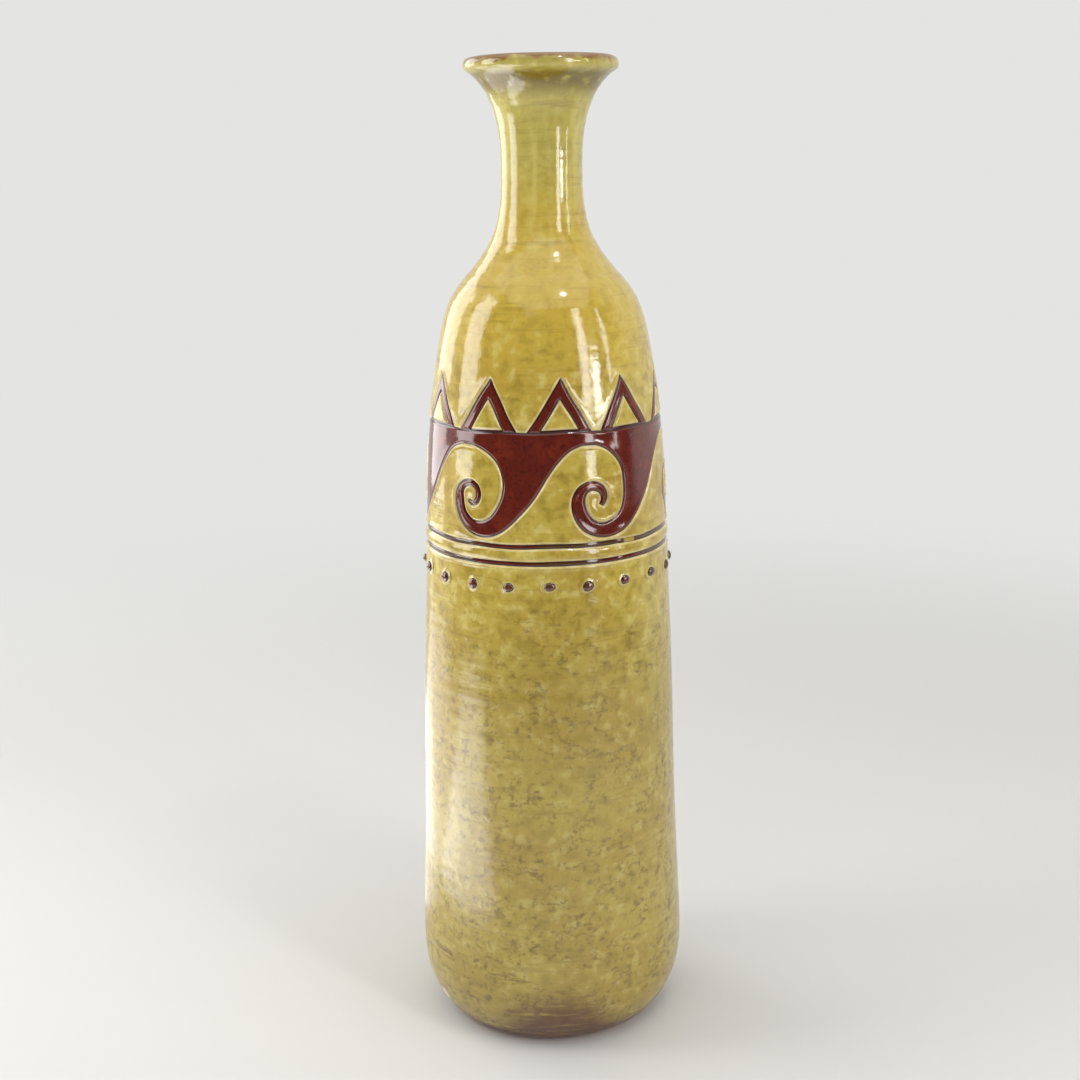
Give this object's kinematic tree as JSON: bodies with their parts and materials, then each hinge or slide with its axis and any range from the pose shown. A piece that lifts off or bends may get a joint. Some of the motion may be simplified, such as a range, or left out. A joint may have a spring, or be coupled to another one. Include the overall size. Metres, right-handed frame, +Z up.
{
  "type": "bottle vase",
  "caption": "Tall hand-thrown bottle vase with a flared lip, glossy yellow glaze and an inlaid brown band of running waves, triangles, ring lines and raised pellets; holds water and stems.",
  "frame": {"origin": "on the ground under the middle of the foot", "axes": "+Z runs up the vase's axis; the pictured front faces -Y"},
  "size_m": [0.1122, 0.1122, 0.4],
  "materials": {
    "red_clay": "matte fired clay",
    "liner_glaze": "glossy glaze",
    "yellow_glaze": "glossy glaze",
    "brown_glaze": "glossy glaze",
    "pellet_glaze": "glossy glaze"
  },
  "bodies": {
    "root": {"lower_body": "red_clay", "shoulder": "red_clay", "neck": "red_clay", "liner_glaze": "liner_glaze", "lower_coat": "yellow_glaze", "ring_coat": "yellow_glaze", "frieze_coat": "yellow_glaze", "upper_coat": "yellow_glaze", "triangle_centre_01": "yellow_glaze", "triangle_centre_02": "yellow_glaze", "triangle_centre_03": "yellow_glaze", "triangle_centre_04": "yellow_glaze", "triangle_centre_05": "yellow_glaze", "triangle_centre_06": "yellow_glaze", "triangle_centre_07": "yellow_glaze", "triangle_centre_08": "yellow_glaze", "triangle_centre_09": "yellow_glaze", "triangle_centre_10": "yellow_glaze", "lower_ring_line": "brown_glaze", "upper_ring_line": "brown_glaze", "wave_frieze": "brown_glaze", "triangle_01": "brown_glaze", "triangle_02": "brown_glaze", "triangle_03": "brown_glaze", "triangle_04": "brown_glaze", "triangle_05": "brown_glaze", "triangle_06": "brown_glaze", "triangle_07": "brown_glaze", "triangle_08": "brown_glaze", "triangle_09": "brown_glaze", "triangle_10": "brown_glaze", "pellet_01": "pellet_glaze", "pellet_02": "pellet_glaze", "pellet_03": "pellet_glaze", "pellet_04": "pellet_glaze", "pellet_05": "pellet_glaze", "pellet_06": "pellet_glaze", "pellet_07": "pellet_glaze", "pellet_08": "pellet_glaze", "pellet_09": "pellet_glaze", "pellet_10": "pellet_glaze", "pellet_11": "pellet_glaze", "pellet_12": "pellet_glaze", "pellet_13": "pellet_glaze", "pellet_14": "pellet_glaze", "pellet_15": "pellet_glaze", "pellet_16": "pellet_glaze", "pellet_17": "pellet_glaze", "pellet_18": "pellet_glaze", "pellet_19": "pellet_glaze", "pellet_20": "pellet_glaze"}
  },
  "joints": []
}
